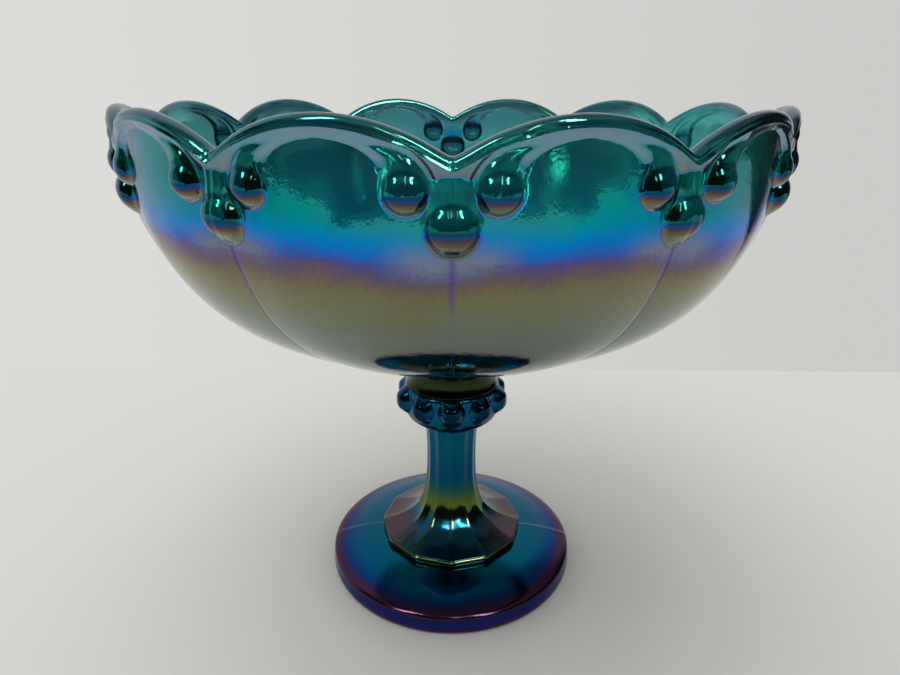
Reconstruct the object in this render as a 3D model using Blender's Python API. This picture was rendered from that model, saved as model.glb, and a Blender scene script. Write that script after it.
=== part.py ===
"""Footed fruit bowl in pressed carnival glass, as the separate glass pieces it divides into.

A scalloped bowl stands on a pedestal: a short neck, a collar ringed with jewels, a fluted
stem that flares out, a twelve-sided step and a round foot. Everything is turned about the
Z axis, the foot rests on Z = 0, and one notch of the rim faces -Y.
Lengths are in metres; the outlines below are written in millimetres and scaled by MM.
"""
import math

import bmesh
import bpy
from mathutils import Matrix, Vector

MM = 0.001
TURN = 2.0 * math.pi

# Driving dimensions
GAP = 0.3 * MM                # clearance between neighbouring pieces
PEAK_HEIGHT = 200.0 * MM      # table to the top of a scallop
NOTCH_HEIGHT = 191.0 * MM     # table to the lip between two scallops
SCALLOPS = 12                 # also the number of body panels, stem flutes and step sides
LOBE_BULGE = 0.0155           # how far a panel's middle stands out, as a part of its radius
LIP_RADIUS = 112.7 * MM       # middle of the lip, at a notch
LIP_HALF_WIDTH = 2.5 * MM
LIP_HALF_HEIGHT = 2.0 * MM
WALL_AT_RIM = 4.4 * MM
WALL_AT_BASE = 6.5 * MM
FLOOR_DIP = 2.6 * MM          # how far the middle of the floor lies below its edge
BOWL_BASE_HEIGHT = 98.6 * MM
BOWL_BASE_RADIUS = 22.0 * MM
COLLAR_TOP = 87.0 * MM
COLLAR_RADIUS = 20.2 * MM
STEM_TOP = 67.8 * MM
STEM_RADIUS = 10.8 * MM
STEP_RADIUS = 31.7 * MM
STEP_TOP = 16.6 * MM
STEP_BOTTOM = 14.0 * MM
FOOT_RADIUS = 54.2 * MM
FOOT_TOP = STEP_BOTTOM - GAP
REST_RING_OUTER = 53.6 * MM
REST_RING_INNER = 45.0 * MM
FOOT_HOLLOW = 3.6 * MM

# Bowl wall outside, at a crease between two panels: radius and height from the base upward
BOWL_OUTLINE = [
    (22.0, 98.6), (40.0, 108.2), (60.0, 115.5), (79.4, 125.0), (94.2, 136.9),
    (106.1, 154.2), (110.9, 166.8), (113.0, 180.0), (113.6, 192.0),
]
SCALLOP_FOOT = 165.0 * MM     # below this height the wall is the same all the way round

# Hanging drops, in millimetres: the bulb's half width and half height, the neck's half width,
# how far each stands out, the height of the bulb's middle and of the drop's flat top
LARGE_DROP = {"width": 6.6, "height": 6.8, "neck": 4.3, "depth": 4.8, "centre": 175.0, "top": 187.5}
SMALL_DROP = {"width": 5.6, "height": 6.0, "neck": 2.4, "depth": 3.8, "centre": 183.0, "top": 192.5}
SMALL_DROP_TURN = math.radians(5.5)   # from a notch to the small drop beside it
DROP_ROOT = 1.6 * MM                  # how deep a drop's flat back is let into the wall

JEWELS = 10
JEWEL_HEIGHT = 81.0 * MM
JEWEL_RADIUS = 5.8 * MM
JEWEL_DEPTH = 4.8 * MM
JEWEL_ROOT = 1.6 * MM
FLUTE_DEPTH = 0.45 * MM       # how far a flute's middle lies below the chord of its ridges

# Mesh resolution
PANEL_COLUMNS = 6
FLUTE_COLUMNS = 4
TURNED_SIDES = 60
JEWEL_SIDES = 12
DROP_STEPS = 6
BULB_LEVELS = (14.0, 38.0, 64.0)     # degrees up from a bulb's lowest point
NECK_LEVELS = (0.0, 0.35, 0.7, 1.0)  # share of the way from a bulb's middle to the drop's top


def clear_scene():
    for old in list(bpy.data.objects):
        bpy.data.objects.remove(old, do_unlink=True)


def glass(name, colour, roughness, metallic):
    """One Principled material, with the piece's colour, gloss and metallic lustre."""
    made = bpy.data.materials.new(name)
    made.use_nodes = True
    shader = made.node_tree.nodes["Principled BSDF"]
    shader.inputs["Base Color"].default_value = (*colour, 1.0)
    shader.inputs["Roughness"].default_value = roughness
    shader.inputs["Metallic"].default_value = metallic
    made.diffuse_color = (*colour, 1.0)
    return made


def add_object(name, mesh, material):
    made = bpy.data.objects.new(name, mesh)
    made.data.materials.append(material)
    bpy.context.scene.collection.objects.link(made)
    return made


def smooth_points(points, steps):
    """A curve through the points, with the given number of steps between two of them."""
    path = [Vector(point) for point in points]
    first = path[0] * 2.0 - path[1]
    last = path[-1] * 2.0 - path[-2]
    ends = [first] + path + [last]
    curve = []
    for index in range(1, len(ends) - 2):
        before, start, stop, after = ends[index - 1:index + 3]
        for step in range(steps):
            t = step / steps
            curve.append(0.5 * (
                2.0 * start
                + (stop - before) * t
                + (2.0 * before - 5.0 * start + 4.0 * stop - after) * t ** 2
                + (3.0 * start - before - 3.0 * stop + after) * t ** 3
            ))
    curve.append(path[-1].copy())
    return curve


def in_metres(points):
    return [(radius * MM, height * MM) for radius, height in points]


def arc(centre, half_width, half_height, start, stop, steps):
    """Points on an ellipse about the centre, from one angle to the other, in degrees."""
    points = []
    for step in range(steps + 1):
        angle = math.radians(start + (stop - start) * step / steps)
        points.append(Vector((
            centre[0] + half_width * math.cos(angle),
            centre[1] + half_height * math.sin(angle),
        )))
    return points


def at_angle(radius, height, angle):
    return Vector((radius * math.cos(angle), radius * math.sin(angle), height))


def skin_rings(name, rings, crease_angle=40.0):
    """A closed mesh over rings of equal length, each end closed by a flat face or a point."""
    shape = bmesh.new()
    rows = []
    for ring in rings:
        rows.append([shape.verts.new(point) for point in ring])
    for lower, upper in zip(rows, rows[1:]):
        if len(lower) == 1 or len(upper) == 1:
            fan_faces(shape, lower, upper)
            continue
        count = len(lower)
        for index in range(count):
            following = (index + 1) % count
            shape.faces.new((lower[index], lower[following], upper[following], upper[index]))
    for end in (rows[0], rows[-1]):
        if len(end) > 1:
            shape.faces.new(end)
    bmesh.ops.recalc_face_normals(shape, faces=shape.faces)
    return finished_mesh(name, shape, crease_angle)


def fan_faces(shape, lower, upper):
    """Triangles between a ring and the single point next to it."""
    point, ring = (lower[0], upper) if len(lower) == 1 else (upper[0], lower)
    for index in range(len(ring)):
        shape.faces.new((ring[index], ring[(index + 1) % len(ring)], point))


def finished_mesh(name, shape, crease_angle):
    mesh = bpy.data.meshes.new(name)
    shape.to_mesh(mesh)
    shape.free()
    mesh.shade_smooth()
    mesh.set_sharp_from_angle(angle=math.radians(crease_angle))
    return mesh


def turned(name, profile, material, sides=TURNED_SIDES):
    """A solid of revolution from a list of (radius, height); a zero radius is a pole."""
    rings = []
    for radius, height in profile:
        if radius < 1e-6:
            rings.append([Vector((0.0, 0.0, height))])
        else:
            rings.append([at_angle(radius, height, TURN * side / sides) for side in range(sides)])
    return add_object(name, skin_rings(name, rings), material)


def panel_turn(angle):
    """How far round its panel an angle lies: 0 at a notch, 0.5 in the middle, 1 at the next."""
    return (angle * SCALLOPS / TURN) % 1.0


def scallop_height(angle):
    """Top of the lip: a circular arc from notch to notch."""
    half_chord = LIP_RADIUS * math.sin(math.pi / SCALLOPS)
    rise = PEAK_HEIGHT - NOTCH_HEIGHT
    arc_radius = (half_chord ** 2 + rise ** 2) / (2.0 * rise)
    along = (2.0 * panel_turn(angle) - 1.0) * half_chord
    return NOTCH_HEIGHT + math.sqrt(arc_radius ** 2 - along ** 2) - (arc_radius - rise)


def bowl_point(radius, height, angle):
    """A point of the wall: panels bulge between creases, and the wall is stretched up to the rim."""
    bulge = 1.0 + LOBE_BULGE * math.sin(math.pi * panel_turn(angle))
    if height > SCALLOP_FOOT:
        stretch = (scallop_height(angle) - SCALLOP_FOOT) / (PEAK_HEIGHT - SCALLOP_FOOT)
        height = SCALLOP_FOOT + (height - SCALLOP_FOOT) * stretch
    return at_angle(radius * bulge, height, angle)


def offset_inward(outline):
    """The inside of the wall: each point moved along the outline's normal by the thickness."""
    inside = []
    for index, point in enumerate(outline):
        ahead = outline[min(index + 1, len(outline) - 1)]
        behind = outline[max(index - 1, 0)]
        along = (ahead - behind).normalized()
        share = index / (len(outline) - 1)
        thickness = WALL_AT_BASE + (WALL_AT_RIM - WALL_AT_BASE) * share
        inside.append(point + Vector((-along.y, along.x)) * thickness)
    return inside


def bowl_section():
    """The wall's outline at a crease: up the outside, over the lip and down the inside."""
    outside = smooth_points(in_metres(BOWL_OUTLINE), 2)
    inside = offset_inward(outside)
    lip_centre = (LIP_RADIUS, PEAK_HEIGHT - LIP_HALF_HEIGHT)
    lip = arc(lip_centre, LIP_HALF_WIDTH, LIP_HALF_HEIGHT, -40.0, 220.0, 5)
    wall = inside[1::2]
    floor_edge = wall[0]
    shoulder = Vector((0.5 * floor_edge.x, floor_edge.y - 0.75 * FLOOR_DIP))
    pole = Vector((0.0, floor_edge.y - FLOOR_DIP))
    return outside + lip + wall[::-1] + [shoulder, pole]


def bowl_shell(material):
    columns = SCALLOPS * PANEL_COLUMNS
    rings = []
    for radius, height in bowl_section():
        if radius < 1e-6:
            rings.append([Vector((0.0, 0.0, height))])
        else:
            rings.append([bowl_point(radius, height, TURN * c / columns) for c in range(columns)])
    return add_object("bowl", skin_rings("bowl", rings, 30.0), material)


def drop_half_width(drop, height):
    """A drop's half width at a height: a round bulb below, drawn out to a neck above."""
    rise = (height - drop["centre"]) / drop["height"]
    if rise <= 0.0:
        return drop["width"] * math.sqrt(max(0.0, 1.0 - rise ** 2))
    reach = (drop["top"] - drop["centre"]) / drop["height"]
    ease = 0.5 - 0.5 * math.cos(math.pi * min(1.0, rise / reach))
    return drop["width"] + (drop["neck"] - drop["width"]) * ease


def wall_radius(height):
    """Outside radius of the wall at a crease, at a height in millimetres."""
    for (low_radius, low), (high_radius, high) in zip(BOWL_OUTLINE, BOWL_OUTLINE[1:]):
        if low <= height <= high:
            return low_radius + (high_radius - low_radius) * (height - low) / (high - low)
    return BOWL_OUTLINE[-1][0]


def drop_mesh(name, drop, angle):
    """One drop: half rings across the wall, from its lowest point up to its flat top."""
    bulge = 1.0 + LOBE_BULGE * math.sin(math.pi * panel_turn(angle))
    reach = drop["top"] - drop["centre"]
    heights = [drop["centre"] - drop["height"] * math.cos(math.radians(turn)) for turn in BULB_LEVELS]
    heights += [drop["centre"] + reach * share for share in NECK_LEVELS]
    rings = []
    for height in heights:
        half_width = drop_half_width(drop, height)
        depth = drop["depth"] * half_width / drop["width"]
        wall = wall_radius(height) * bulge
        rings.append(drop_ring(angle, height * MM, wall * MM, half_width * MM, depth * MM))
    return skin_rings(name, rings, 60.0)


def drop_ring(angle, height, wall, half_width, depth):
    """A half ellipse standing out from the wall, closed by a flat back inside the wall."""
    radial = at_angle(1.0, 0.0, angle)
    sideways = Vector((-radial.y, radial.x, 0.0))
    level = Vector((0.0, 0.0, height))
    ring = []
    for step in range(DROP_STEPS + 1):
        turn = math.pi * step / DROP_STEPS
        out = wall + depth * math.sin(turn)
        ring.append(level + radial * out + sideways * half_width * math.cos(turn))
    for side in (-1.0, 1.0):
        ring.append(level + radial * (wall - DROP_ROOT) + sideways * half_width * side)
    return ring


def join_meshes(name, meshes):
    joined = bmesh.new()
    for mesh in meshes:
        joined.from_mesh(mesh)
    result = bpy.data.meshes.new(name)
    joined.to_mesh(result)
    joined.free()
    result.shade_smooth()
    result.set_sharp_from_angle(angle=math.radians(60.0))
    return result


def add_relief(body, name, meshes):
    """Unites the relief with its body. The relief's own object stays hidden as the tool."""
    relief = bpy.data.objects.new(name, join_meshes(name, meshes))
    bpy.context.scene.collection.objects.link(relief)
    relief.hide_render = True
    relief.display_type = "WIRE"
    union = body.modifiers.new("relief", "BOOLEAN")
    union.operation = "UNION"
    union.solver = "EXACT"
    union.object = relief


def bowl(material):
    shell = bowl_shell(material)
    drops = []
    for scallop in range(SCALLOPS):
        notch = TURN * scallop / SCALLOPS
        drops.append(drop_mesh("large_drop", LARGE_DROP, notch))
        for side in (-1, 1):
            drops.append(drop_mesh("small_drop", SMALL_DROP, notch + side * SMALL_DROP_TURN))
    add_relief(shell, "drop_relief", drops)
    return shell


def neck(material):
    """The waist between bowl and collar, hollowed all round by a cove."""
    base = COLLAR_TOP + GAP
    top = BOWL_BASE_HEIGHT - GAP
    cove = smooth_points([
        (20.0 * MM, base), (19.1 * MM, 90.0 * MM), (18.9 * MM, 93.0 * MM),
        (19.8 * MM, 96.0 * MM), (BOWL_BASE_RADIUS, top),
    ], 2)
    return turned("neck", cove, material)


def jewel_mesh(name, angle):
    """A cut gem with sloping sides and a small rounded top, pointing out level from the collar."""
    rings = []
    for ring_share, depth_share in ((1.0, -1.0), (1.0, 0.0), (0.74, 0.46), (0.42, 0.86)):
        depth = JEWEL_ROOT * depth_share if depth_share < 0.0 else JEWEL_DEPTH * depth_share
        ring = []
        for step in range(JEWEL_SIDES):
            turn = TURN * step / JEWEL_SIDES
            reach = JEWEL_RADIUS * ring_share
            ring.append(Vector((depth, reach * math.cos(turn), reach * math.sin(turn))))
        rings.append(ring)
    rings.append([Vector((JEWEL_DEPTH, 0.0, 0.0))])
    mesh = skin_rings(name, rings, 60.0)
    seat = Matrix.Translation((COLLAR_RADIUS - 0.4 * MM, 0.0, JEWEL_HEIGHT))
    mesh.transform(Matrix.Rotation(angle, 4, "Z") @ seat)
    return mesh


def jewelled_collar(material):
    profile = smooth_points([
        (11.4 * MM, STEM_TOP + GAP), (13.2 * MM, 68.6 * MM), (16.2 * MM, 70.4 * MM),
        (19.3 * MM, 73.2 * MM), (20.4 * MM, 76.5 * MM), (COLLAR_RADIUS, 82.0 * MM),
        (20.2 * MM, COLLAR_TOP - 0.6 * MM), (19.7 * MM, COLLAR_TOP),
    ], 2)
    body = turned("jewelled_collar", profile, material)
    first = -TURN / 4.0
    jewels = [jewel_mesh("jewel", first + TURN * index / JEWELS) for index in range(JEWELS)]
    add_relief(body, "jewel_relief", jewels)
    return body


def fluted_ring(radius, hollow, height):
    """One level of the stem: twelve ridges, and sides hollowed below the straight chord."""
    half = math.pi / SCALLOPS
    ring = []
    for side in range(SCALLOPS):
        for step in range(FLUTE_COLUMNS):
            from_middle = -half + 2.0 * half * step / FLUTE_COLUMNS
            chord = radius * math.cos(half) / math.cos(from_middle)
            depth = hollow * math.cos(0.5 * math.pi * from_middle / half)
            angle = TURN * (side + 0.5) / SCALLOPS + from_middle
            ring.append(at_angle(chord - depth, height, angle))
    return ring


def fluted_stem(material):
    """A slim waisted column whose flutes run out into the flare that covers the step."""
    flare_base = STEP_TOP + GAP
    profile = smooth_points([
        (11.7 * MM, STEM_TOP), (11.1 * MM, 62.5 * MM), (STEM_RADIUS, 52.0 * MM),
        (11.2 * MM, 41.0 * MM), (12.8 * MM, 31.5 * MM), (16.2 * MM, 24.6 * MM),
        (22.5 * MM, 20.1 * MM), (STEP_RADIUS, flare_base),
    ], 2)
    rings = []
    for radius, height in profile:
        hollow = FLUTE_DEPTH * (STEP_RADIUS - radius) / (STEP_RADIUS - STEM_RADIUS)
        rings.append(fluted_ring(radius, hollow, height))
    return add_object("fluted_stem", skin_rings("fluted_stem", rings, 14.0), material)


def twelve_sided_step(material):
    """The low slab between flare and foot, with one corner at each stem ridge."""
    rings = []
    for height in (STEP_BOTTOM, STEP_TOP):
        rings.append([at_angle(STEP_RADIUS, height, TURN * c / SCALLOPS) for c in range(SCALLOPS)])
    return add_object("twelve_sided_step", skin_rings("twelve_sided_step", rings, 20.0), material)


def foot(material):
    """A round disc, gently domed above, resting on a flat ring round a shallow hollow."""
    seat = STEP_RADIUS + 0.5 * MM
    dome = smooth_points([
        (seat, FOOT_TOP), (42.0 * MM, 12.1 * MM), (49.5 * MM, 9.9 * MM), (52.9 * MM, 8.7 * MM),
        (53.9 * MM, 8.0 * MM), (FOOT_RADIUS, 7.0 * MM),
    ], 2)
    hollow = [
        (REST_RING_INNER, 0.0), (REST_RING_INNER - 3.0 * MM, 0.6 * FOOT_HOLLOW),
        (REST_RING_INNER - 8.0 * MM, FOOT_HOLLOW), (0.0, FOOT_HOLLOW),
    ]
    rim = [(FOOT_RADIUS, 0.7 * MM), (REST_RING_OUTER, 0.0)]
    return turned("foot", [(0.0, FOOT_TOP)] + dome + rim + hollow, material)


def main():
    clear_scene()
    bowl(glass("bowl_glass", (0.02, 0.16, 0.22), 0.08, 0.4))
    neck(glass("neck_glass", (0.09, 0.10, 0.03), 0.1, 0.4))
    jewelled_collar(glass("collar_glass", (0.01, 0.12, 0.24), 0.08, 0.4))
    fluted_stem(glass("stem_glass", (0.01, 0.10, 0.25), 0.08, 0.4))
    twelve_sided_step(glass("step_glass", (0.10, 0.09, 0.03), 0.1, 0.4))
    foot(glass("foot_glass", (0.06, 0.05, 0.16), 0.1, 0.4))


main()
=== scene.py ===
"""The looks of the footed carnival glass bowl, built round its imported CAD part."""
import math

import bpy
import numpy as np
from mathutils import Matrix, Vector


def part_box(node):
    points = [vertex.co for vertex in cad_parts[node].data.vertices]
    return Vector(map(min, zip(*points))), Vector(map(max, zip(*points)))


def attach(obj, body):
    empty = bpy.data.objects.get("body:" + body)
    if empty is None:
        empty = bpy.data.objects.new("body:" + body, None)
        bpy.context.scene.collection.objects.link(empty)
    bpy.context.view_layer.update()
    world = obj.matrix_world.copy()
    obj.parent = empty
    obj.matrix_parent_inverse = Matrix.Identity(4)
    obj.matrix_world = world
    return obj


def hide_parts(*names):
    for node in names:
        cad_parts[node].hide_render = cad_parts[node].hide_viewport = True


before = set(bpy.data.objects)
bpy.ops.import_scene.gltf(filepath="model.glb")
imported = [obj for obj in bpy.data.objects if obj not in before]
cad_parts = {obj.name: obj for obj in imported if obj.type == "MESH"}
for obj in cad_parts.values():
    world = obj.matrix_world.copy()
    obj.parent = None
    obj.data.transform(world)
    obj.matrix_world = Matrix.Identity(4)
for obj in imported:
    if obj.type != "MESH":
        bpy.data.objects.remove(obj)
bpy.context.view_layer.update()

MM = 0.001
TURN = 2.0 * math.pi

# ---------------------------------------------------------------- sizes, in millimetres
PANELS = 12
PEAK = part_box("bowl")[1].z / MM       # top of a scallop
NOTCH = PEAK - 9.0                    # lip between two scallops
BOWL_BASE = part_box("bowl")[0].z / MM
BULGE = 0.0155                        # how much farther out the middle of a panel lies than a notch
RELIEF_FOOT = 166.0                   # the wall is plain up to here
LIP_CENTRE = 112.75
LIP_HALF_WIDTH = 2.55
LIP_HALF_HEIGHT = 1.75
LIP_EDGE = 2.8                        # depth of the lip's lower outer edge below its top
WALL_AT_RIM = 3.9
WALL_AT_BASE = 6.5
FLOOR_DIP = 2.6
HALF_PANEL = 29.7                     # from a notch to the middle of a panel, along the wall

# Outer wall of the bowl at a notch: radius, height
BOWL_OUTLINE = [
    (22.0, BOWL_BASE), (40.0, 108.2), (60.0, 115.5), (79.4, 125.0), (94.2, 136.9),
    (106.1, 154.2), (110.9, 166.8), (113.0, 180.0), (113.6, 192.0), (113.7, 200.0),
]
# The raised neck above the large drop, and the edge of the panel: distance from the notch, height
NECK_OUTLINE = [
    (0.0, 168.2), (4.3, 169.9), (6.4, 173.6), (6.0, 177.3), (4.6, 180.6), (3.9, 184.3),
    (5.0, 187.8), (8.3, 191.6), (12.8, 194.1), (18.5, 195.5), (29.7, 196.2),
]
NECK_HEIGHT = 0.9                     # the neck stands out by this much
NECK_EDGE = 1.1                       # width over which its edge is rounded
# Ridge down the middle of the neck: height, half width, how far it stands out
NECK_RIDGE = [
    (174.0, 6.4, 4.2), (178.5, 5.8, 3.1), (182.5, 5.3, 2.4), (186.0, 5.2, 2.0), (191.0, 6.0, 1.3),
]
PANEL_EDGE = [
    (15.5, 182.0), (15.4, 185.5), (15.9, 188.0), (17.2, 190.4), (20.4, 192.7), (25.1, 194.3),
    (29.7, 194.95),
]
PANEL_STEP = 0.35                     # the band stands out from the panel by this much
FLARE_DEPTH = 4.4                     # the band leans out over this distance below the lip
FLARE_SLOPE = 0.36
# Round drops: distance from the notch, height, radius, how far it stands out
DROPS = [(0.0, 175.0, 6.3, 4.55), (10.3, 183.2, 5.25, 3.7)]
# The tail that joins a small drop to the band: distance from the notch, height, half width
TAIL = [
    (10.3, 184.6, 4.9), (10.8, 187.2, 4.0), (12.4, 189.8, 2.8), (15.4, 192.0, 1.8), (20.0, 193.8, 1.0),
    (25.0, 194.9, 0.6), (29.7, 195.4, 0.4),
]
TAIL_DEPTH = 0.58

# Share of a surface that carries the iridescent film
BARE, FILMED, FILMED_INSIDE, FILMED_UNDER = 0.0, 1.0, 0.5, 0.6


# ---------------------------------------------------------------- curves
def spline(knots, values, where):
    """Natural cubic spline through (knots, values), read at where."""
    knots, values, where = (np.asarray(each, float) for each in (knots, values, where))
    gaps = np.diff(knots)
    count = len(knots)
    system = np.eye(count)
    target = np.zeros(count)
    for i in range(1, count - 1):
        system[i, i - 1:i + 2] = gaps[i - 1], 2.0 * (gaps[i - 1] + gaps[i]), gaps[i]
        rise, fall = values[i + 1] - values[i], values[i] - values[i - 1]
        target[i] = 6.0 * (rise / gaps[i] - fall / gaps[i - 1])
    bend = np.linalg.solve(system, target)
    i = np.clip(np.searchsorted(knots, where, "right") - 1, 0, count - 2)
    a, b = knots[i + 1] - where, where - knots[i]
    gap = gaps[i]
    return (
        (bend[i] * a ** 3 + bend[i + 1] * b ** 3) / (6.0 * gap)
        + (values[i] / gap - bend[i] * gap / 6.0) * a
        + (values[i + 1] / gap - bend[i + 1] * gap / 6.0) * b
    )


def curve(points, count):
    """count points at even steps along a smooth curve through the points."""
    points = np.asarray(points, float)
    along = np.concatenate([[0.0], np.cumsum(np.linalg.norm(np.diff(points[:, :2], axis=0), axis=1))])
    where = np.linspace(0.0, along[-1], count)
    return np.stack([spline(along, points[:, axis], where) for axis in range(points.shape[1])], 1)


def smooth(low, high, value):
    """0 at low, 1 at high, with a soft start and end."""
    t = np.clip((value - low) / (high - low), 0.0, 1.0)
    return t * t * (3.0 - 2.0 * t)


# ---------------------------------------------------------------- meshes
class Body:
    """One closed body, built from rings of points from one pole of its section to the other. Each
    ring has a film, the share of it that carries the iridescent film, and may have further
    measures, such as crease, which the colour rules read."""

    def __init__(self, *measures):
        self.rings = []
        self.film = []
        self.measures = {measure: [] for measure in measures}

    def add(self, ring, film, **values):
        self.rings.append(ring)
        self.film.append(np.full(len(ring), film))
        for measure, held in self.measures.items():
            held.append(np.broadcast_to(values.get(measure, 0.0), len(ring)))

    def pole(self, height, film):
        self.add(np.array([[0.0, 0.0, height]]), film)

    def mesh(self, name):
        faces = []
        start = 0
        for low, high in zip(self.rings[:-1], self.rings[1:]):
            after = start + len(low)
            if len(low) >= len(high):
                faces += between(start, len(low), after, len(high), False)
            else:
                faces += between(after, len(high), start, len(low), True)
            start = after
        vertices = np.concatenate(self.rings) * MM
        mesh = bpy.data.meshes.new(name)
        mesh.from_pydata(vertices.tolist(), [], outward(vertices, faces))
        mesh.update()
        mesh.shade_smooth()
        for measure, values in {"film": self.film, **self.measures}.items():
            layer = mesh.attributes.new(measure, "FLOAT", "POINT")
            layer.data.foreach_set("value", np.concatenate(values).astype(np.float32))
        return mesh


def between(fine, many, coarse, few, flip):
    """Faces between a ring of many points and one of few."""
    if few == 1:
        faces = [(fine + i, fine + (i + 1) % many, coarse) for i in range(many)]
    else:
        step = many // few
        faces = []
        for j in range(few):
            low = [fine + (j * step + i) % many for i in range(step + 1)]
            faces.append(tuple(low + [coarse + (j + 1) % few, coarse + j]))
    return [face[::-1] for face in faces] if flip else faces


def outward(vertices, faces):
    """The faces, all turned over if the body would be inside out."""
    signed = 0.0
    for face in faces:
        a = vertices[face[0]]
        for k in range(1, len(face) - 1):
            b, c = vertices[face[k]], vertices[face[k + 1]]
            signed += (
                a[0] * (b[1] * c[2] - b[2] * c[1])
                + a[1] * (b[2] * c[0] - b[0] * c[2])
                + a[2] * (b[0] * c[1] - b[1] * c[0])
            )
    return [face[::-1] for face in faces] if signed < 0.0 else faces


def add_piece(name, node, mesh, material):
    """Put one visible piece in the scene, in place of one node of the CAD."""
    piece = bpy.data.objects.new(name, mesh)
    mesh.materials.append(material)
    bpy.context.scene.collection.objects.link(piece)
    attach(piece, "root")
    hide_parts(node)


def ring_at(radius, height, angles):
    """Points at these angles. Radius and height are one number each, or one for each angle."""
    radius = np.broadcast_to(radius, angles.shape)
    height = np.broadcast_to(height, angles.shape)
    return np.stack([radius * np.cos(angles), radius * np.sin(angles), height], 1)


# ---------------------------------------------------------------- bowl
HALF_COLUMNS = 48                     # relief columns from a notch to the middle of a panel
WALL_ROWS, RELIEF_ROWS, LIP_ROWS, INNER_ROWS, FLOOR_ROWS = 34, 60, 11, 12, 44


def panel_columns():
    """Angles of the relief columns round the bowl, and each one's share of the way from its
    notch to the middle of its panel. They are closer together near the drops."""
    even = np.arange(HALF_COLUMNS) / HALF_COLUMNS
    share = 0.70 * even + 0.30 * even ** 4
    rising = np.concatenate([share, [1.0]])
    whole = np.concatenate([rising[:-1], 2.0 - rising[:0:-1]])
    angles = []
    shares = []
    for panel in range(PANELS):
        angles.append((panel + 0.5 * whole) * TURN / PANELS - 0.25 * TURN)
        shares.append(np.minimum(whole, 2.0 - whole))
    return np.concatenate(angles), np.concatenate(shares)


def eased(share, rounding):
    """The share with its corner at the notch rounded off."""
    return (np.sqrt(share ** 2 + rounding ** 2) - rounding) / (math.sqrt(1.0 + rounding ** 2) - rounding)


def bulged(share):
    """Factor by which the wall's radius grows from a notch to the middle of a panel."""
    return 1.0 + BULGE * np.sin(0.5 * math.pi * eased(share, 0.035))


def scallop_top(share):
    """Height of the lip: a circular arch over each panel."""
    half_chord = LIP_CENTRE * math.sin(math.pi / PANELS)
    rise = PEAK - NOTCH
    radius = (half_chord ** 2 + rise ** 2) / (2.0 * rise)
    along = (1.0 - eased(share, 0.04)) * half_chord
    return PEAK - radius + np.sqrt(radius ** 2 - along ** 2)


def edge_distance(across, height, line):
    """How far inside an outline a point lies, towards the notch. Outside it is zero."""
    distance = np.full(across.shape, 1e9)
    for x, z in line:
        distance = np.minimum(distance, np.hypot(across - x, height - z))
    limit = np.interp(height, line[:, 1], line[:, 0], left=-1.0, right=1e3)
    return np.where(across < limit, distance, 0.0)


def rounded_step(distance, width):
    """A quarter circle that rises from 0 to 1 over the width."""
    return np.sqrt(1.0 - (1.0 - np.clip(distance / width, 0.0, 1.0)) ** 2)


def drop_height(across, height, drop):
    """A round dome with a small fillet where it meets the wall."""
    x, z, radius, depth = drop
    reach = np.hypot(across - x, height - z) / radius
    dome = depth * (np.sqrt(np.clip(1.0 - reach ** 2, 0.0, None) + 0.01) - 0.1) / 0.905
    fillet = 0.55 * np.clip((1.16 - reach) / 0.26, 0.0, 1.0) ** 2
    return np.maximum(dome, fillet)


def relief(across, height, top):
    """How far the band, the neck and the drops stand out from the panel."""
    neck = NECK_HEIGHT * rounded_step(edge_distance(across, height, curve(NECK_OUTLINE, 240)), NECK_EDGE)
    inside = edge_distance(across, height, curve(PANEL_EDGE, 160))
    step = PANEL_STEP * rounded_step(inside, 0.8) * smooth(182.0, 186.0, height)
    below_lip = top - LIP_EDGE - height
    lean = FLARE_DEPTH - below_lip
    lean = 0.5 * (lean + np.sqrt(lean ** 2 + 0.5))
    flare = FLARE_SLOPE * np.minimum(lean, 1.1 * inside)
    result = np.maximum(neck, step) + flare
    tail = np.zeros(result.shape)
    for x, z, width in curve(TAIL, 60):
        reach = ((across - x) ** 2 + (height - z) ** 2) / width ** 2
        tail = np.maximum(tail, TAIL_DEPTH * width * np.sqrt(np.clip(1.0 - reach, 0.0, None)))
    result = np.maximum(result, tail + 0.4 * flare)
    for z, width, depth in curve(NECK_RIDGE, 60):
        reach = (across ** 2 + (height - z) ** 2) / width ** 2
        result = np.maximum(result, depth * np.clip(1.0 - reach, 0.0, None))
    for drop in DROPS:
        result = np.maximum(result, drop_height(across, height, drop))
    return result


def on_drop(across, height):
    """1 on the round drops, 0 beside them."""
    share = np.zeros(across.shape)
    for x, z, radius, depth in DROPS:
        reach = np.hypot(across - x, height - z) / radius
        share = np.maximum(share, np.clip((1.02 - reach) / 0.10, 0.0, 1.0))
    return share


def wall_inside(outside):
    """The inner outline: the outer one moved inward along its normal by the wall's thickness."""
    along = np.gradient(outside, axis=0)
    along /= np.linalg.norm(along, axis=1)[:, None]
    thickness = np.linspace(WALL_AT_BASE, WALL_AT_RIM, len(outside))[:, None]
    return outside + np.stack([-along[:, 1], along[:, 0]], 1) * thickness


def mirrored(half_panel):
    """Values from a notch to the middle of a panel, carried on round the whole bowl."""
    return np.tile(np.concatenate([half_panel, half_panel[-2:0:-1]]), PANELS)


def bowl_mesh():
    angles, shares = panel_columns()
    top = scallop_top(shares)
    outside = curve(BOWL_OUTLINE, 3000)
    inside = wall_inside(outside)
    body = Body("crease", "drop")
    body.pole(BOWL_BASE, BARE)
    add_plain_wall(body, outside, angles[::4], shares[::4])
    add_relief(body, outside, angles, shares, top)
    add_lip(body, angles[::2], shares[::2], top[::2])
    add_inside(body, inside, angles[::8], shares[::8], top[::8])
    return body.mesh("bowl_glass_body")


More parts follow.
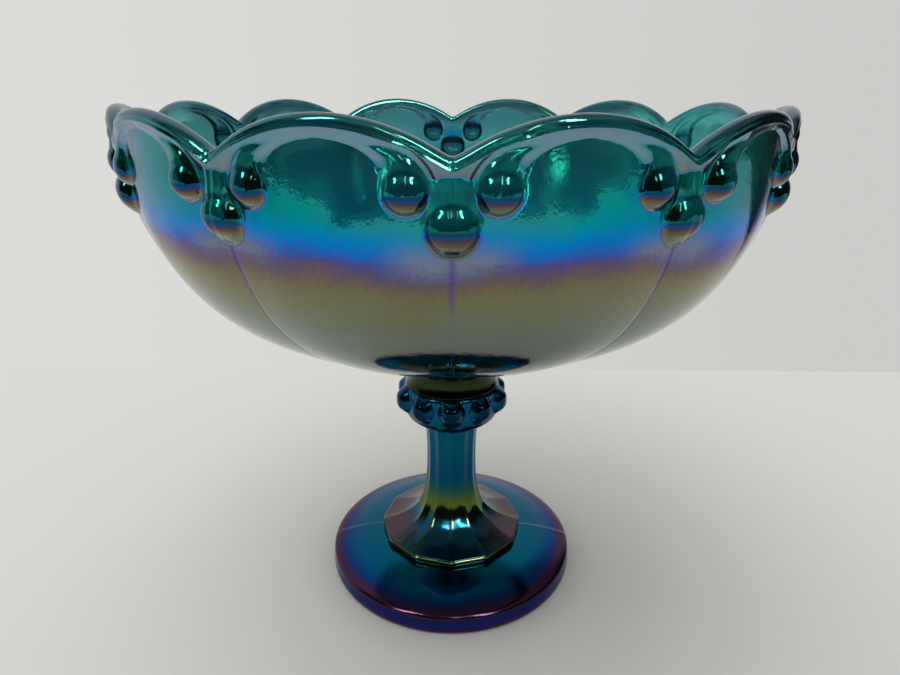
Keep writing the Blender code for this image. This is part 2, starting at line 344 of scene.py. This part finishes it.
def add_plain_wall(body, outside, angles, shares):
    """The outside of the bowl, up to the foot of the relief. It starts with the bare seat."""
    low = outside[outside[:, 1] <= RELIEF_FOOT]
    step = np.linspace(0, len(low) - 1, WALL_ROWS).round().astype(int)
    for row, (radius, height) in enumerate(low[step]):
        ring = ring_at(radius * bulged(shares), height, angles)
        body.add(ring, BARE if row == 0 else FILMED, crease=1.0 - shares)


def add_relief(body, outside, angles, shares, top):
    """The band, the necks and the drops. One half panel is worked out and mirrored round the bowl."""
    half = slice(0, HALF_COLUMNS + 1)
    across = shares[half] * HALF_PANEL
    for row in range(1, RELIEF_ROWS + 1):
        height = RELIEF_FOOT + (top - LIP_EDGE - RELIEF_FOOT) * row / RELIEF_ROWS
        wall = np.interp(height, outside[:, 1], outside[:, 0]) * bulged(shares)
        raised = mirrored(relief(across, height[half], top[half]))
        drop = mirrored(on_drop(across, height[half]))
        body.add(ring_at(wall + raised, height, angles), FILMED, crease=1.0 - shares, drop=drop)


def add_lip(body, angles, shares, top):
    """The rounded lip, from its lower outer edge over its top to its inner side."""
    for turn in np.radians(np.linspace(-25.0, 180.0, LIP_ROWS)):
        radius = (LIP_CENTRE + LIP_HALF_WIDTH * math.cos(turn)) * bulged(shares)
        height = top - LIP_HALF_HEIGHT + LIP_HALF_HEIGHT * math.sin(turn)
        body.add(ring_at(radius, height, angles), FILMED, crease=1.0 - shares)


def add_inside(body, inside, angles, shares, top):
    """The inner wall, down to a dished floor."""
    start = top - LIP_HALF_HEIGHT
    for row in range(1, INNER_ROWS + 1):
        height = start + (RELIEF_FOOT - start) * row / INNER_ROWS
        wall = np.interp(height, inside[:, 1], inside[:, 0])
        wall += (LIP_CENTRE - LIP_HALF_WIDTH - wall) * smooth(start - 6.0, start, height)
        body.add(ring_at(wall * bulged(shares), height, angles), FILMED_INSIDE, crease=1.0 - shares)
    lower = inside[inside[:, 1] <= RELIEF_FOOT - 1.0]
    edge = lower[0]
    dished = curve(np.array([
        lower[-1], *(lower[len(lower) * sixth // 6] for sixth in (5, 4, 3, 2, 1)), edge,
        (0.5 * edge[0], edge[1] - 0.75 * FLOOR_DIP), (0.0, edge[1] - FLOOR_DIP),
    ]), FLOOR_ROWS)
    for radius, height in dished[:-1]:
        body.add(ring_at(radius * bulged(shares), height, angles), FILMED_INSIDE, crease=1.0 - shares)
    body.pole(dished[-1][1], FILMED_INSIDE)


# ---------------------------------------------------------------- pedestal
def around(count):
    return np.arange(count) * TURN / count


def neck_mesh():
    low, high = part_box("neck")
    base, top = low.z / MM, high.z / MM
    angles = around(160)
    body = Body()
    body.pole(base, BARE)
    body.add(ring_at(19.9, base, angles), BARE)
    for radius, height in curve([(20.0, base), (19.1, 90.0), (18.9, 93.0), (19.8, 96.0), (22.0, top)], 26):
        body.add(ring_at(radius, height, angles), FILMED)
    body.add(ring_at(21.9, top, angles), BARE)
    body.pole(top, BARE)
    return body.mesh("neck_glass_body")


JEWELS = 10
JEWEL_HEIGHT = 81.0
JEWEL_SIZE = (5.7, 6.2)      # half width and half height
JEWEL_DEPTH = 4.2
JEWEL_CORNERS = 0.02         # how far a jewel's outline leans towards six sides
COLLAR_RADIUS = 20.2
COLLAR_ROWS = 64
STEM_WAIST = 10.8
FLUTE_HOLLOW = 0.35          # depth of a flute at the waist
RIDGE_WIDTH = 0.55           # half width of the gold line along a ridge of the stem
STEP_RADIUS = 31.7           # at a corner
FOOT_RADIUS = 54.2
SEAM_WIDTH = 0.38            # half width of the mould seam on the foot
SEAM_HEIGHT = 0.22
HOLLOW = 3.6                 # depth of the hollow under the foot


def gem(reach):
    """The section of a jewel, 1 on its small rounded table and 0 at its edge."""
    slope = np.clip(1.0 - reach, 0.0, None) / 0.6
    return slope / (1.0 + slope ** 5) ** 0.2


def collar_mesh():
    low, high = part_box("jewelled_collar")
    base, top = low.z / MM, high.z / MM
    outline = curve([
        (11.4, base), (13.2, 68.6), (16.2, 70.4), (19.3, 73.2), (20.3, 76.5), (COLLAR_RADIUS, 82.0),
        (20.15, top - 0.6), (19.7, top),
    ], COLLAR_ROWS)
    angles = around(480)
    from_jewel = (angles + 0.25 * TURN) * JEWELS / TURN
    across = (from_jewel - np.round(from_jewel)) * TURN / JEWELS * COLLAR_RADIUS / JEWEL_SIZE[0]
    body = Body("drop")
    body.pole(base, BARE)
    for row, (radius, height) in enumerate(outline):
        up = (height - JEWEL_HEIGHT) / JEWEL_SIZE[1]
        six_sided = 1.0 + JEWEL_CORNERS * np.cos(np.arctan2(up, across) * 6.0 + math.pi)
        raised = gem(np.hypot(across, up) * six_sided)
        film = BARE if row in (0, COLLAR_ROWS - 1) else FILMED
        body.add(ring_at(radius + JEWEL_DEPTH * raised, height, angles), film, drop=raised)
    body.pole(top, BARE)
    return body.mesh("collar_glass_body")


def stem_mesh():
    """Flat flutes between twelve ridges, a little hollow where the stem is slim. The ridges and, on
    the flare, the mould seam at either side are marked as creases."""
    low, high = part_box("fluted_stem")
    base, top = low.z / MM, high.z / MM
    outline = curve([
        (11.7, top), (11.1, 62.5), (STEM_WAIST, 52.0), (11.2, 41.0), (12.8, 31.5), (16.2, 24.6),
        (22.5, 20.1), (STEP_RADIUS, base),
    ], 84)
    half = math.pi / PANELS
    share = np.arange(PANELS * 20) / 20
    angles = share * TURN / PANELS - 0.25 * TURN
    beside = np.abs(share - np.round(share)) * 2.0 * half
    from_ridge = np.sqrt(beside ** 2 + 0.02 ** 2) - 0.02
    from_middle = np.clip(half - from_ridge, 0.0, None)
    off_seam = np.abs(np.cos(angles)) < 0.999
    body = Body("crease")
    body.pole(top, BARE)
    for row, (radius, height) in enumerate(outline):
        hollow = FLUTE_HOLLOW * ((STEP_RADIUS - radius) / (STEP_RADIUS - STEM_WAIST)) ** 2
        chord = radius * math.cos(half) / np.cos(from_middle)
        ring = ring_at(chord - hollow * np.cos(0.5 * math.pi * from_middle / half), height, angles)
        ridge = np.exp(-(beside * radius / RIDGE_WIDTH) ** 2) * smooth(21.0, 17.5, radius)
        seam = np.where(off_seam, 0.0, 0.7 * smooth(17.0, 20.0, radius))
        body.add(ring, BARE if row == 0 else FILMED, crease=np.maximum(ridge, seam))
    body.add(ring_at((STEP_RADIUS - 0.4) * math.cos(half) / np.cos(from_middle), base, angles), BARE)
    body.pole(base, BARE)
    return body.mesh("stem_glass_body")


def step_mesh():
    low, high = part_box("twelve_sided_step")
    base, top = low.z / MM, high.z / MM
    half = math.pi / PANELS
    share = np.arange(PANELS * 8) / 8
    angles = share * TURN / PANELS - 0.25 * TURN
    from_ridge = np.abs(share - np.round(share)) * 2.0 * half
    side = math.cos(half) / np.cos(half - from_ridge)
    body = Body()
    body.pole(base, BARE)
    for inset, height in ((0.4, base), (0.15, base + 0.08), (0.0, base + 0.35),
                          (0.0, top - 0.35), (0.15, top - 0.08), (0.4, top)):
        body.add(ring_at((STEP_RADIUS - inset) * side, height, angles), FILMED)
    body.pole(top, BARE)
    return body.mesh("step_glass_body")


def foot_mesh():
    """A dome with the mould seam across it, a straight rim, and a hollow inside the rest ring."""
    low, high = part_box("foot")
    top = high.z / MM
    angles = around(288)
    dome = curve([
        (32.2, top), (42.0, 12.1), (49.5, 9.9), (52.8, 8.75), (53.85, 8.0), (FOOT_RADIUS, 7.0),
    ], 60)
    rim = curve([(FOOT_RADIUS, 5.4), (FOOT_RADIUS, 0.9), (53.6, 0.0)], 10)
    under = curve([
        (46.0, 0.0), (44.8, 0.35), (42.0, 2.16), (37.0, 3.5), (30.0, HOLLOW), (15.0, HOLLOW),
        (6.0, HOLLOW),
    ], 24)
    from_seam = np.minimum(np.abs(np.angle(np.exp(1j * angles))),
                           np.abs(np.angle(np.exp(1j * (angles - math.pi)))))
    body = Body("crease")
    body.pole(top, BARE)
    for radius in (10.0, 20.0, 31.0):
        body.add(ring_at(radius, top, angles), BARE)
    for radius, height in dome:
        seam = np.exp(-(from_seam * radius / SEAM_WIDTH) ** 2)
        raised = SEAM_HEIGHT * seam * smooth(54.1, 52.5, radius)
        body.add(ring_at(radius, height + raised, angles), FILMED, crease=seam)
    for radius, height in rim:
        body.add(ring_at(radius, height, angles), FILMED)
    for radius, height in under:
        body.add(ring_at(radius, height, angles), FILMED_UNDER)
    body.pole(HOLLOW, FILMED_UNDER)
    return body.mesh("foot_glass_body")


# ---------------------------------------------------------------- materials
class Graph:
    """A short way to add and link shader nodes."""

    def __init__(self, owner):
        owner.use_nodes = True
        self.tree = owner.node_tree
        self.shader = self.tree.nodes.get("Principled BSDF")
        self.output = self.tree.nodes.get("Material Output")

    def add(self, kind, inputs=None, **settings):
        node = self.tree.nodes.new(kind)
        for key, value in settings.items():
            setattr(node, key, value)
        for key, value in (inputs or {}).items():
            if isinstance(value, bpy.types.NodeSocket):
                self.tree.links.new(value, node.inputs[key])
            else:
                node.inputs[key].default_value = value
        return node

    def math(self, operation, first, second=0.0, third=0.0):
        return self.add("ShaderNodeMath", {0: first, 1: second, 2: third}, operation=operation).outputs[0]

    def times(self, first, second):
        return self.math("MULTIPLY", first, second)

    def noise(self, scale, detail=2.0, roughness=0.5, stretch=None):
        where = self.add("ShaderNodeTexCoord").outputs["Object"]
        if stretch:
            mapped = self.add("ShaderNodeMapping", {"Vector": where})
            mapped.inputs["Scale"].default_value = stretch
            where = mapped.outputs["Vector"]
        node = self.add("ShaderNodeTexNoise", {"Vector": where, "Scale": scale, "Detail": detail,
                                               "Roughness": roughness})
        return node.outputs["Fac"]

    def mix(self, share, first, second):
        node = self.add("ShaderNodeMix", data_type="RGBA")
        for index, value in ((0, share), (6, first), (7, second)):
            if isinstance(value, bpy.types.NodeSocket):
                self.tree.links.new(value, node.inputs[index])
            else:
                node.inputs[index].default_value = value
        return node.outputs[2]

    def remap(self, value, low, high, to_low=0.0, to_high=1.0, kind="LINEAR"):
        node = self.add("ShaderNodeMapRange", {"Value": value, "From Min": low, "From Max": high,
                                               "To Min": to_low, "To Max": to_high},
                        interpolation_type=kind)
        return node.outputs["Result"]

    def ramp(self, value, stops):
        node = self.add("ShaderNodeValToRGB", {"Fac": value})
        node.color_ramp.interpolation = "B_SPLINE"
        elements = node.color_ramp.elements
        elements[0].position, elements[0].color = stops[0][0], (*stops[0][1], 1.0)
        elements[1].position, elements[1].color = stops[-1][0], (*stops[-1][1], 1.0)
        for position, colour in stops[1:-1]:
            elements.new(position).color = (*colour, 1.0)
        return node.outputs["Color"]


class Place:
    """Where a point of the surface lies: sockets that the colour rules below read."""

    def __init__(self, graph):
        where = graph.add("ShaderNodeTexCoord")
        parts = graph.add("ShaderNodeSeparateXYZ", {"Vector": where.outputs["Object"]})
        flat = graph.add("ShaderNodeCombineXYZ", {"X": parts.outputs["X"], "Y": parts.outputs["Y"]})
        self.height = parts.outputs["Z"]
        self.reach = graph.add("ShaderNodeVectorMath", {0: flat.outputs[0]},
                               operation="LENGTH").outputs["Value"]
        self.tilt = graph.add("ShaderNodeSeparateXYZ", {"Vector": where.outputs["Normal"]}).outputs["Z"]
        self.facing = graph.math("DIVIDE", parts.outputs["Y"], self.reach)
        self.film = graph.add("ShaderNodeAttribute", attribute_name="film").outputs["Fac"]
        self.crease = graph.add("ShaderNodeAttribute", attribute_name="crease").outputs["Fac"]
        self.drop = graph.add("ShaderNodeAttribute", attribute_name="drop").outputs["Fac"]
        self.grain = graph.remap(graph.noise(900.0, 2.0, 0.6), 0.3, 0.7, -1.0, 1.0)
        self.blotch = graph.remap(graph.noise(28.0, 3.0, 0.55), 0.3, 0.7, -1.0, 1.0)


GLASS_IOR = 1.5
FILM_IOR = 2.0
FILM_THICKNESS = 330.0       # in nanometres
FINE_GRAIN = 0.000018        # height in metres of the finest unevenness of the surface
WAVINESS = 0.00006           # and of the next coarser one


def film_glass(name, rule, absorption, rough, groove=0.0):
    """Pressed glass under an iridescent film, whose colour and mirror share come from the rule."""
    material = bpy.data.materials.new(name)
    graph = Graph(material)
    place = Place(graph)
    colour, mirror = rule(graph, place)
    shader = graph.shader
    graph.tree.links.new(colour, shader.inputs["Base Color"])
    graph.tree.links.new(graph.times(place.film, mirror), shader.inputs["Metallic"])
    wear = graph.remap(graph.noise(60.0, 4.0, 0.6), 0.3, 0.7, rough - 0.02, rough + 0.03)
    graph.tree.links.new(wear, shader.inputs["Roughness"])
    shader.inputs["IOR"].default_value = GLASS_IOR
    shader.inputs["Transmission Weight"].default_value = 1.0
    shader.inputs["Thin Film Thickness"].default_value = FILM_THICKNESS
    shader.inputs["Thin Film IOR"].default_value = FILM_IOR
    fine = graph.times(graph.noise(1400.0, 1.0, 0.5), FINE_GRAIN)
    wavy = graph.times(graph.noise(220.0, 2.0, 0.5), WAVINESS)
    skin = graph.math("ADD", fine, wavy)
    if groove:
        line = graph.remap(place.crease, 0.955, 1.0, 0.0, -groove, "SMOOTHERSTEP")
        skin = graph.math("ADD", skin, line)
    bump = graph.add("ShaderNodeBump", {"Height": skin, "Strength": 1.0, "Distance": 1.0})
    graph.tree.links.new(bump.outputs["Normal"], shader.inputs["Normal"])
    density, tint = absorption
    volume = graph.add("ShaderNodeVolumeAbsorption", {"Color": (*tint, 1.0), "Density": density})
    graph.tree.links.new(volume.outputs["Volume"], graph.output.inputs["Volume"])
    return material


# Density and colour of the glass itself, thin in the bowl and thick in the pedestal
BODY_ABSORPTION = (118.0, (0.08, 0.84, 0.76))
DEEP_ABSORPTION = (700.0, (0.05, 0.62, 0.60))

# Film colours of the bowl, in the order in which they follow one another as the wall turns up
BOWL_FILM = [
    (0.00, (0.24, 0.28, 0.25)), (0.22, (0.23, 0.26, 0.21)), (0.34, (0.24, 0.23, 0.13)),
    (0.44, (0.23, 0.19, 0.08)), (0.50, (0.20, 0.11, 0.10)), (0.56, (0.11, 0.06, 0.24)),
    (0.62, (0.05, 0.09, 0.50)), (0.68, (0.002, 0.18, 0.72)), (0.77, (0.001, 0.28, 0.72)),
    (0.84, (0.004, 0.30, 0.52)), (0.91, (0.05, 0.42, 0.44)), (1.00, (0.26, 0.76, 0.64)),
]
# Film colours inside the bowl and beside a crease; the violet along a crease is partly the film's colour,
# partly painted shade
INSIDE_FILM = (0.20, 0.57, 0.56, 1.0)
CREASE_PALE = (0.23, 0.24, 0.30, 1.0)
CREASE_VIOLET_AND_SHADE = (0.10, 0.035, 0.30, 1.0)
# Film colours of the band under the lip and of the lip, from facing down to facing up
RIM_FILM = [
    (0.00, (0.26, 0.29, 0.28)), (0.20, (0.24, 0.31, 0.38)), (0.35, (0.15, 0.29, 0.44)),
    (0.45, (0.10, 0.36, 0.48)), (0.52, (0.14, 0.50, 0.48)), (0.62, (0.10, 0.22, 0.26)),
    (1.00, (0.13, 0.20, 0.22)),
]
# Film colours of the round drops: a pale rim below, then bronze and violet, and dark blue above
DROP_FILM = [
    (0.00, (0.30, 0.34, 0.30)), (0.08, (0.26, 0.26, 0.20)), (0.18, (0.22, 0.15, 0.07)),
    (0.30, (0.15, 0.07, 0.03)), (0.38, (0.06, 0.03, 0.14)), (0.46, (0.015, 0.06, 0.22)),
    (0.56, (0.004, 0.04, 0.13)), (0.72, (0.006, 0.055, 0.12)), (1.00, (0.020, 0.15, 0.22)),
]


def bowl_rule(graph, place):
    """The colour follows the slope of the wall: silver below, blue and teal where it is upright.
    Beside a crease the blue is paler, and the crease itself is a soft violet line, partly the film's
    colour and partly painted shade in the crease. The inside has a thin even film."""
    aside = graph.remap(place.facing, -0.75, -0.25, 0.0, -0.07, "SMOOTHSTEP")
    t = graph.remap(place.tilt, -0.75, 0.05)
    t = graph.math("ADD", t, aside)
    t = graph.math("MULTIPLY_ADD", place.blotch, 0.05, t)
    t = graph.math("MULTIPLY_ADD", place.grain, 0.025, t)
    beside = graph.remap(place.crease, 0.34, 0.76, 0.0, 0.85, "SMOOTHSTEP")
    blue = graph.remap(t, 0.50, 0.62, 0.0, 1.0, "SMOOTHSTEP")
    below_drops = graph.remap(place.height, 0.166, 0.174, 1.0, 0.0, "SMOOTHSTEP")
    pale = graph.times(graph.times(beside, blue), below_drops)
    wall = graph.mix(pale, graph.ramp(t, BOWL_FILM), CREASE_PALE)
    # A narrow violet line along each crease: partly the film's colour, partly painted shade in the crease.
    line = graph.times(graph.remap(place.crease, 0.945, 1.0, 0.0, 1.0, "SMOOTHSTEP"),
                       graph.remap(t, 0.28, 0.50, 0.08, 0.65, "SMOOTHSTEP"))
    wall = graph.mix(graph.times(line, below_drops), wall, CREASE_VIOLET_AND_SHADE)
    rim = graph.ramp(graph.remap(place.tilt, -1.0, 1.0), RIM_FILM)
    drop = graph.ramp(graph.remap(place.tilt, -0.8, 0.25), DROP_FILM)
    share = graph.remap(place.height, 0.182, 0.1925, 0.0, 1.0, "SMOOTHSTEP")
    colour = graph.mix(place.drop, graph.mix(share, wall, rim), drop)
    inside = graph.remap(place.film, 0.55, 0.95, 1.0, 0.0)
    colour = graph.mix(inside, colour, INSIDE_FILM)
    cloudy = graph.math("MULTIPLY_ADD", place.blotch, 0.03, place.tilt)
    upright = graph.remap(cloudy, -0.20, -0.09, 0.90, 0.10, "SMOOTHSTEP")
    leaning = graph.remap(place.tilt, -0.35, -0.10, 0.85, 0.20, "SMOOTHSTEP")
    above = graph.remap(place.tilt, 0.0, 0.4, 0.0, 0.15, "SMOOTHSTEP")
    rim_mirror = graph.math("ADD", leaning, above)
    mirror = graph.remap(share, 0.0, 1.0, upright, rim_mirror)
    round_mirror = graph.remap(place.tilt, -0.35, 0.0, 0.85, 0.28, "SMOOTHSTEP")
    mirror = graph.math("MAXIMUM", mirror, graph.times(place.drop, round_mirror))
    return colour, mirror


def stops_by(socket_name, low, high, stops):
    """A rule whose colours follow one measure of place."""
    def rule(graph, place):
        t = graph.remap(getattr(place, socket_name), low, high)
        return graph.ramp(graph.math("MULTIPLY_ADD", place.blotch, 0.03, t), stops), 0.9
    return rule


def collar_rule(graph, place):
    """Teal blue, with dark navy jewels."""
    t = graph.remap(place.height, 0.068, 0.087)
    body = graph.ramp(graph.math("MULTIPLY_ADD", place.blotch, 0.03, t), COLLAR_FILM)
    return graph.mix(place.drop, body, graph.ramp(place.drop, JEWEL_FILM)), 0.96


def stem_rule(graph, place):
    """Blue flutes with gold low down their ridges, and plum where the flare faces up at the sides."""
    t = graph.remap(place.height, 0.017, 0.064)
    colour = graph.ramp(graph.math("MULTIPLY_ADD", place.blotch, 0.02, t), STEM_FILM)
    turned = graph.math("MULTIPLY_ADD", place.blotch, 0.10, place.facing)
    turned = graph.remap(turned, -0.90, -0.40, 0.0, 0.9, "SMOOTHSTEP")
    low_down = graph.remap(place.height, 0.0195, 0.024, 1.0, 0.0, "SMOOTHSTEP")
    colour = graph.mix(graph.times(turned, low_down), colour, FLARE_PLUM)
    return graph.mix(place.crease, colour, graph.ramp(t, RIDGE_FILM)), 0.96


def foot_rule(graph, place):
    """Blue that turns to violet and plum towards the edge, and again down the rim, with a painted gold
    highlight along the mould seam.
    """
    outward = graph.remap(place.reach, 0.030, 0.0538, 0.0, 0.7)
    down = graph.remap(place.height, 0.0078, 0.0, 0.0, 0.3)
    t = graph.math("MULTIPLY_ADD", place.blotch, 0.03, graph.math("ADD", outward, down))
    # The mould seam gets a painted gold highlight, stronger in patches.
    gold = graph.times(place.crease, graph.remap(place.blotch, -1.0, 1.0, 0.05, 0.40))
    return graph.mix(gold, graph.ramp(t, FOOT_FILM), SEAM_GOLD_HIGHLIGHT), 0.97


# Film colours of the pedestal. Those of neck, collar, stem and step go from low to high, those of
# a jewel from its edge to its table, and those of the foot outward and then down the rim. The gold
# at the step's top edge is a painted glint.
FLARE_PLUM = (0.10, 0.06, 0.075, 1.0)
# Painted gold highlight along the foot's mould seam.
SEAM_GOLD_HIGHLIGHT = (0.40, 0.38, 0.25, 1.0)
NECK_FILM = [(0.0, (0.020, 0.018, 0.002)), (0.5, (0.026, 0.022, 0.003)), (1.0, (0.05, 0.05, 0.012))]
COLLAR_FILM = [
    (0.00, (0.002, 0.12, 0.17)), (0.35, (0.002, 0.10, 0.18)), (0.60, (0.002, 0.09, 0.18)),
    (1.00, (0.003, 0.10, 0.20)),
]
JEWEL_FILM = [(0.0, (0.002, 0.06, 0.15)), (0.5, (0.004, 0.035, 0.11)), (1.0, (0.002, 0.008, 0.025))]
STEM_FILM = [
    (0.00, (0.020, 0.070, 0.090)), (0.05, (0.020, 0.070, 0.110)), (0.11, (0.005, 0.080, 0.180)),
    (0.17, (0.020, 0.140, 0.190)), (0.23, (0.050, 0.120, 0.030)), (0.30, (0.110, 0.140, 0.010)),
    (0.38, (0.050, 0.120, 0.040)), (0.45, (0.006, 0.100, 0.120)), (0.55, (0.001, 0.070, 0.190)),
    (0.70, (0.001, 0.080, 0.210)), (0.86, (0.002, 0.110, 0.200)), (1.00, (0.002, 0.120, 0.180)),
]
RIDGE_FILM = [
    (0.00, (0.12, 0.14, 0.09)), (0.14, (0.28, 0.29, 0.10)), (0.24, (0.18, 0.19, 0.015)),
    (0.32, (0.13, 0.15, 0.006)), (0.41, (0.06, 0.11, 0.03)), (0.51, (0.012, 0.09, 0.09)),
    (0.70, (0.003, 0.09, 0.17)), (1.00, (0.004, 0.13, 0.18)),
]
# The gold at the top of this ramp, on the step's upper edge, is a painted glint.
STEP_FILM_AND_GLINT = [(0.0, (0.008, 0.035, 0.055)), (0.5, (0.02, 0.05, 0.05)), (1.0, (0.30, 0.29, 0.09))]
FOOT_FILM = [
    (0.00, (0.000, 0.110, 0.190)), (0.34, (0.000, 0.105, 0.210)), (0.46, (0.002, 0.065, 0.210)),
    (0.54, (0.006, 0.035, 0.200)), (0.60, (0.040, 0.020, 0.090)), (0.66, (0.085, 0.024, 0.050)),
    (0.71, (0.060, 0.020, 0.070)), (0.76, (0.012, 0.020, 0.110)), (0.83, (0.014, 0.026, 0.240)),
    (0.90, (0.045, 0.012, 0.120)), (0.95, (0.080, 0.014, 0.060)), (1.00, (0.180, 0.120, 0.050)),
]


# ---------------------------------------------------------------- stage
TABLE_BACK = 0.213
TABLE_FRONT = -0.50          # reflections see the table up to here and a dark studio beyond
TABLE_REACH = 1.6
TABLE_COLOUR = (0.62, 0.615, 0.595)
DARK = 0.02
AMBIENT = 0.75
BACKDROP = (0.72, 0.60)      # as the camera sees it, from left to right
BACKDROP_REFLECTED = 0.62
CEILING_REFLECTED = 0.22


def stage_material(name):
    """A pale table. Glossy rays find it dark beyond its front, along an uneven line."""
    material = bpy.data.materials.new(name)
    graph = Graph(material)
    where = graph.add("ShaderNodeTexCoord").outputs["Object"]
    across = graph.add("ShaderNodeSeparateXYZ", {"Vector": where}).outputs["Y"]
    path = graph.add("ShaderNodeLightPath").outputs["Is Glossy Ray"]
    uneven = graph.noise(5.0, 2.0, 0.5, stretch=(1.0, 0.25, 1.0))
    across = graph.math("MULTIPLY_ADD", graph.math("SUBTRACT", uneven, 0.5), 0.55, across)
    beyond = graph.remap(across, TABLE_FRONT - 0.02, TABLE_FRONT + 0.02, 1.0, 0.0, "SMOOTHSTEP")
    unlit = graph.times(beyond, path)
    graph.shader.inputs["Base Color"].default_value = (*TABLE_COLOUR, 1.0)
    graph.shader.inputs["Roughness"].default_value = 0.6
    graph.shader.inputs["Specular IOR Level"].default_value = 0.05
    dark = graph.add("ShaderNodeEmission", {"Color": (DARK, DARK, DARK, 1.0)})
    mixed = graph.add("ShaderNodeMixShader",
                      {0: unlit, 1: graph.shader.outputs[0], 2: dark.outputs[0]})
    graph.tree.links.new(mixed.outputs[0], graph.output.inputs["Surface"])
    return material


def floor():
    corners = [
        (-TABLE_REACH, -TABLE_REACH, 0.0), (TABLE_REACH, -TABLE_REACH, 0.0),
        (TABLE_REACH, TABLE_BACK, 0.0), (-TABLE_REACH, TABLE_BACK, 0.0),
    ]
    mesh = bpy.data.meshes.new("floor")
    mesh.from_pydata(corners, [], [(0, 1, 2, 3)])
    mesh.materials.append(stage_material("floor"))
    plane = bpy.data.objects.new("floor", mesh)
    bpy.context.scene.collection.objects.link(plane)


def studio_world():
    """Pale backdrop and even ambient light. Reflections see a studio that is dark in front."""
    world = bpy.data.worlds.new("studio")
    graph = Graph(world)
    graph.tree.nodes.clear()
    direction = graph.add("ShaderNodeTexCoord").outputs["Generated"]
    parts = graph.add("ShaderNodeSeparateXYZ", {"Vector": direction})
    x, y, z = parts.outputs["X"], parts.outputs["Y"], parts.outputs["Z"]
    edge = graph.math("MULTIPLY_ADD", x, 0.42, 0.38)
    pale = graph.remap(graph.math("SUBTRACT", y, edge), -0.15, 0.15, 0.0, 1.0, "SMOOTHSTEP")
    level = graph.math("MULTIPLY_ADD", pale, BACKDROP_REFLECTED, DARK)
    ceiling = graph.remap(z, 0.35, 0.8, 0.0, CEILING_REFLECTED, "SMOOTHSTEP")
    reflected = graph.math("MAXIMUM", level, ceiling)
    path = graph.add("ShaderNodeLightPath").outputs
    mirror_ray = graph.math("MAXIMUM", path["Is Glossy Ray"], path["Is Transmission Ray"])
    wall = graph.remap(x, -0.5, 0.5, *BACKDROP)
    level = graph.math("MULTIPLY_ADD", mirror_ray, graph.math("SUBTRACT", reflected, AMBIENT), AMBIENT)
    level = graph.math("MULTIPLY_ADD", path["Is Camera Ray"], graph.math("SUBTRACT", wall, level), level)
    background = graph.add("ShaderNodeBackground", {"Color": (1.0, 1.0, 0.975, 1.0), "Strength": level})
    output = graph.add("ShaderNodeOutputWorld")
    graph.tree.links.new(background.outputs[0], output.inputs["Surface"])
    world.cycles.sampling_method = "NONE"
    bpy.context.scene.world = world


def area_light(name, location, target, size, power, reflected, colour=(1.0, 1.0, 1.0)):
    """A soft light that either lights the table or shows as a reflection in the glass."""
    data = bpy.data.lights.new(name, "AREA")
    data.shape = "RECTANGLE"
    data.size, data.size_y = size
    data.energy = power
    data.color = colour
    light = bpy.data.objects.new(name, data)
    light.location = location
    aim = Vector(target) - Vector(location)
    light.rotation_euler = aim.to_track_quat("-Z", "Y").to_euler()
    light.visible_glossy = reflected
    light.visible_diffuse = not reflected
    light.visible_camera = False
    bpy.context.scene.collection.objects.link(light)


CAMERA_PLACE = (0.0, -0.26017, 0.20429)
CAMERA_TURN = (20.555, -0.177, 0.184)     # down, to the right and rolled, in degrees
CAMERA_LENS = 26.454


def camera():
    pitch, yaw, roll = (math.radians(angle) for angle in CAMERA_TURN)
    forward = Vector((
        math.sin(yaw) * math.cos(pitch), math.cos(yaw) * math.cos(pitch), -math.sin(pitch),
    ))
    level = Vector((math.cos(yaw), -math.sin(yaw), 0.0))
    upward = level.cross(forward)
    right = math.cos(roll) * level + math.sin(roll) * upward
    up = math.cos(roll) * upward - math.sin(roll) * level
    data = bpy.data.cameras.new("camera")
    data.lens, data.sensor_width = CAMERA_LENS, 36.0
    data.clip_start = 0.01
    made = bpy.data.objects.new("camera", data)
    turned = Matrix((right, up, -forward)).transposed().to_4x4()
    made.matrix_world = Matrix.Translation(CAMERA_PLACE) @ turned
    bpy.context.scene.collection.objects.link(made)
    bpy.context.scene.camera = made


# ---------------------------------------------------------------- build
neck_rule = stops_by("height", 0.087, 0.0985, NECK_FILM)
step_rule = stops_by("height", 0.014, 0.0166, STEP_FILM_AND_GLINT)
bowl_glass = film_glass("bowl_glass", bowl_rule, BODY_ABSORPTION, 0.07, groove=0.00012)
neck_glass = film_glass("neck_glass", neck_rule, DEEP_ABSORPTION, 0.16)
collar_glass = film_glass("collar_glass", collar_rule, DEEP_ABSORPTION, 0.19)
stem_glass = film_glass("stem_glass", stem_rule, DEEP_ABSORPTION, 0.13)
step_glass = film_glass("step_glass", step_rule, DEEP_ABSORPTION, 0.10)
foot_glass = film_glass("foot_glass", foot_rule, DEEP_ABSORPTION, 0.13)

add_piece("bowl_glass_body", "bowl", bowl_mesh(), bowl_glass)
add_piece("neck_glass_body", "neck", neck_mesh(), neck_glass)
add_piece("collar_glass_body", "jewelled_collar", collar_mesh(), collar_glass)
add_piece("stem_glass_body", "fluted_stem", stem_mesh(), stem_glass)
add_piece("step_glass_body", "twelve_sided_step", step_mesh(), step_glass)
add_piece("foot_glass_body", "foot", foot_mesh(), foot_glass)

floor()
studio_world()
MIDDLE = (0.0, 0.0, 0.12)
area_light("key", (-0.30, 0.10, 1.6), (0.0, 0.0, 0.1), (1.9, 1.4), 15.0, False)
area_light("left_window", (-1.52, -1.45, 2.15), MIDDLE, (0.42, 1.9), 34.0, True, (0.92, 1.0, 1.0))
area_light("right_window", (1.15, -1.75, 2.15), MIDDLE, (0.42, 1.9), 34.0, True, (1.0, 0.94, 1.0))
area_light("narrow_window", (0.20, -2.10, 2.15), MIDDLE, (0.08, 1.9), 5.0, True)
camera()
bpy.context.scene.view_settings.view_transform = "Standard"
